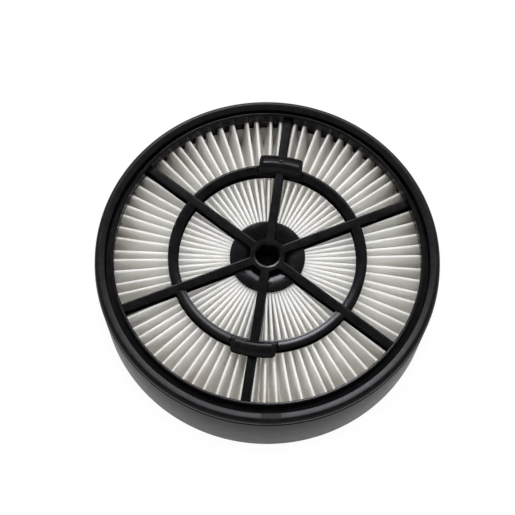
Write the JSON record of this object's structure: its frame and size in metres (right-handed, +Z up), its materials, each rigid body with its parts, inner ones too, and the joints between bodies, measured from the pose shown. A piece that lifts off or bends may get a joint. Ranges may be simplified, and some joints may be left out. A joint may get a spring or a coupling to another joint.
{
  "type": "round pleated vacuum exhaust filter",
  "caption": "Round cartridge filter: white radial pleats in a black cased ring with a spoked grille, middle ring, hub and finger tabs, closed by a soft rim seal.",
  "frame": {"origin": "middle of the base that the casing stands on", "axes": "+Z up through the hub, grille side up; the two finger tabs lie on the Y axis"},
  "size_m": [0.14, 0.14, 0.0375],
  "materials": {
    "casing": "smooth satin black",
    "seal": "soft black, mottled",
    "frame": "moulded black, half gloss",
    "media": "white fibre paper",
    "plug": "moulded black",
    "potting": "cast black adhesive"
  },
  "bodies": {
    "root": {"outer_casing": "casing", "rim_seal": "seal", "grille_frame": "frame", "pleated_media": "media", "centre_plug": "plug", "potting_ring": "potting"}
  },
  "joints": []
}
